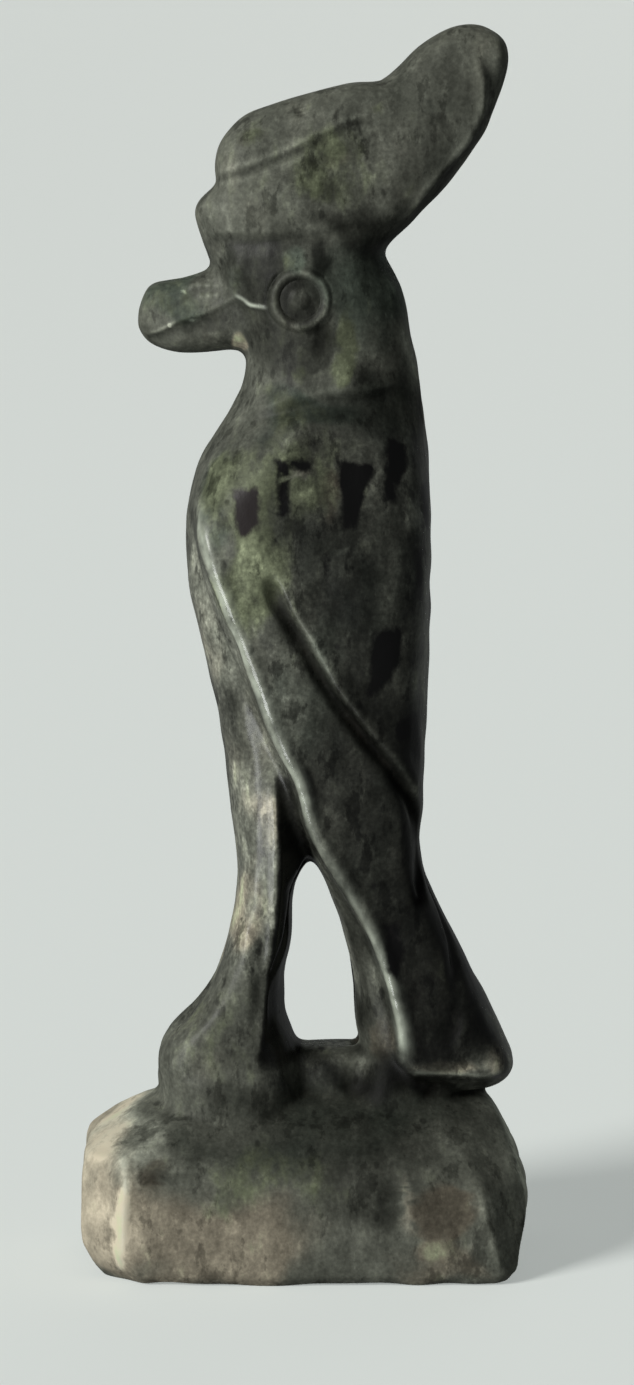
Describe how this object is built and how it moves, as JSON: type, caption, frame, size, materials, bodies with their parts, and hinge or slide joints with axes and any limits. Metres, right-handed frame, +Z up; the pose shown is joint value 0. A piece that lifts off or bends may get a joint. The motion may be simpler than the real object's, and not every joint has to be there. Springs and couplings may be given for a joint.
{
  "type": "falcon god statuette",
  "caption": "Standing falcon god in a tall double crown, carved in mottled green stone together with the plinth whose flat underside it stands on.",
  "frame": {"origin": "centre of the plinth's underside, on the surface that the statuette stands on", "axes": "+Z up; the falcon looks along -Y; +X is towards its left wing"},
  "size_m": [0.0104, 0.018, 0.05],
  "materials": {
    "green_stone": "polished by wear, mottled dark green and grey with black mineral grains and paler patches"
  },
  "bodies": {
    "root": {"falcon_statuette": "green_stone"}
  },
  "joints": []
}
